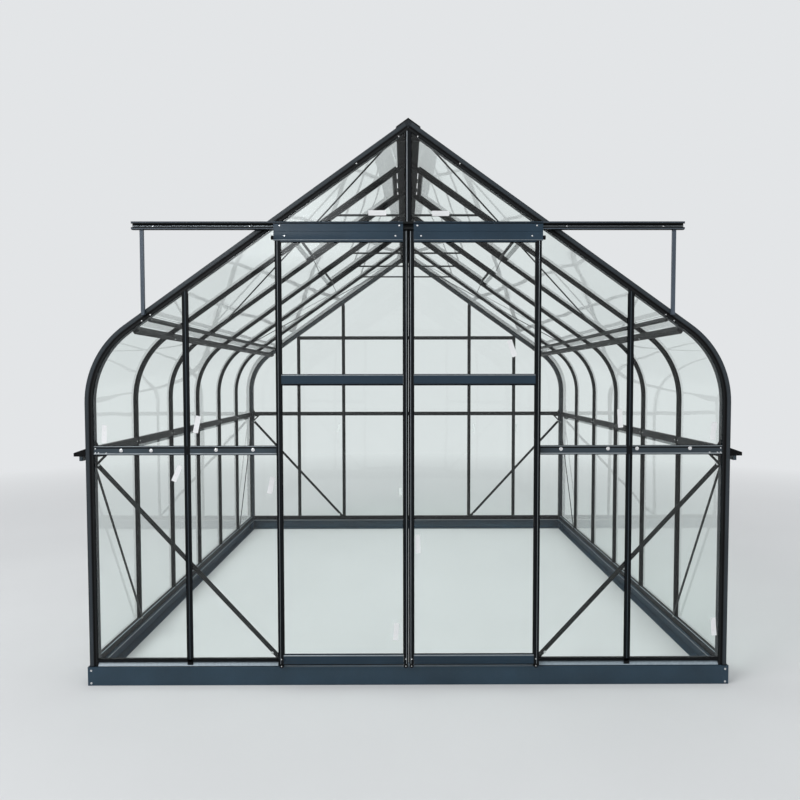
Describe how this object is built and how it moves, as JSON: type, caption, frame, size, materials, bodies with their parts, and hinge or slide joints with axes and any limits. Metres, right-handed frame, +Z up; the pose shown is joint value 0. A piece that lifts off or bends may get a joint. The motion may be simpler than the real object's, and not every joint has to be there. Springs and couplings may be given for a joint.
{
  "type": "glass greenhouse",
  "caption": "Glazed metal-framed greenhouse with bent eaves, ridge vents, a low sheet base and top-hung sliding doors in the front gable.",
  "frame": {"origin": "on the ground, in the middle of the base frame", "axes": "+X across the front to the right, +Y from the front gable to the rear gable, +Z up"},
  "size_m": [3.2266, 3.7393, 2.7257],
  "materials": {
    "frame": "satin powder coat, anthracite",
    "glass": "clear float glass",
    "rollers": "plain nylon",
    "rubber": "matt"
  },
  "bodies": {
    "house": {"gable_base_rails": "frame", "side_base_rails": "frame", "base_corners": "frame", "sills": "frame", "corner_posts": "frame", "gable_bows": "frame", "gable_rafters": "frame", "wall_bars": "frame", "eave_bows": "frame", "rafters": "frame", "ridge_bar": "frame", "eave_purlins": "frame", "eave_strips": "frame", "side_mid_rails": "frame", "weather_rails": "frame", "collar_ties": "frame", "door_jambs": "frame", "door_transom": "frame", "front_glazing_bars": "frame", "rear_glazing_bars": "frame", "front_mid_rails": "frame", "rear_rails": "frame", "gable_braces": "frame", "side_braces": "frame", "roof_braces": "frame", "gusset_plates": "frame", "door_track": "frame", "track_posts": "frame", "vent_frames": "frame", "vent_stays": "frame", "front_glass": "glass", "rear_glass": "glass", "side_glass": "glass", "bent_glass": "glass", "roof_glass": "glass"},
    "left_door": {"left_door_stiles": "frame", "left_door_rails": "frame", "left_door_glass": "glass", "left_door_rollers": "rollers", "left_door_glides": "rubber"},
    "right_door": {"right_door_stiles": "frame", "right_door_rails": "frame", "right_door_glass": "glass", "right_door_rollers": "rollers", "right_door_glides": "rubber"}
  },
  "joints": [
    {"name": "left_door_slide", "type": "slide", "parent": "house", "child": "left_door", "axis": [-1, 0, 0], "range_m": [0, 0.6]},
    {"name": "right_door_slide", "type": "slide", "parent": "house", "child": "right_door", "axis": [1, 0, 0], "range_m": [0, 0.6]}
  ]
}
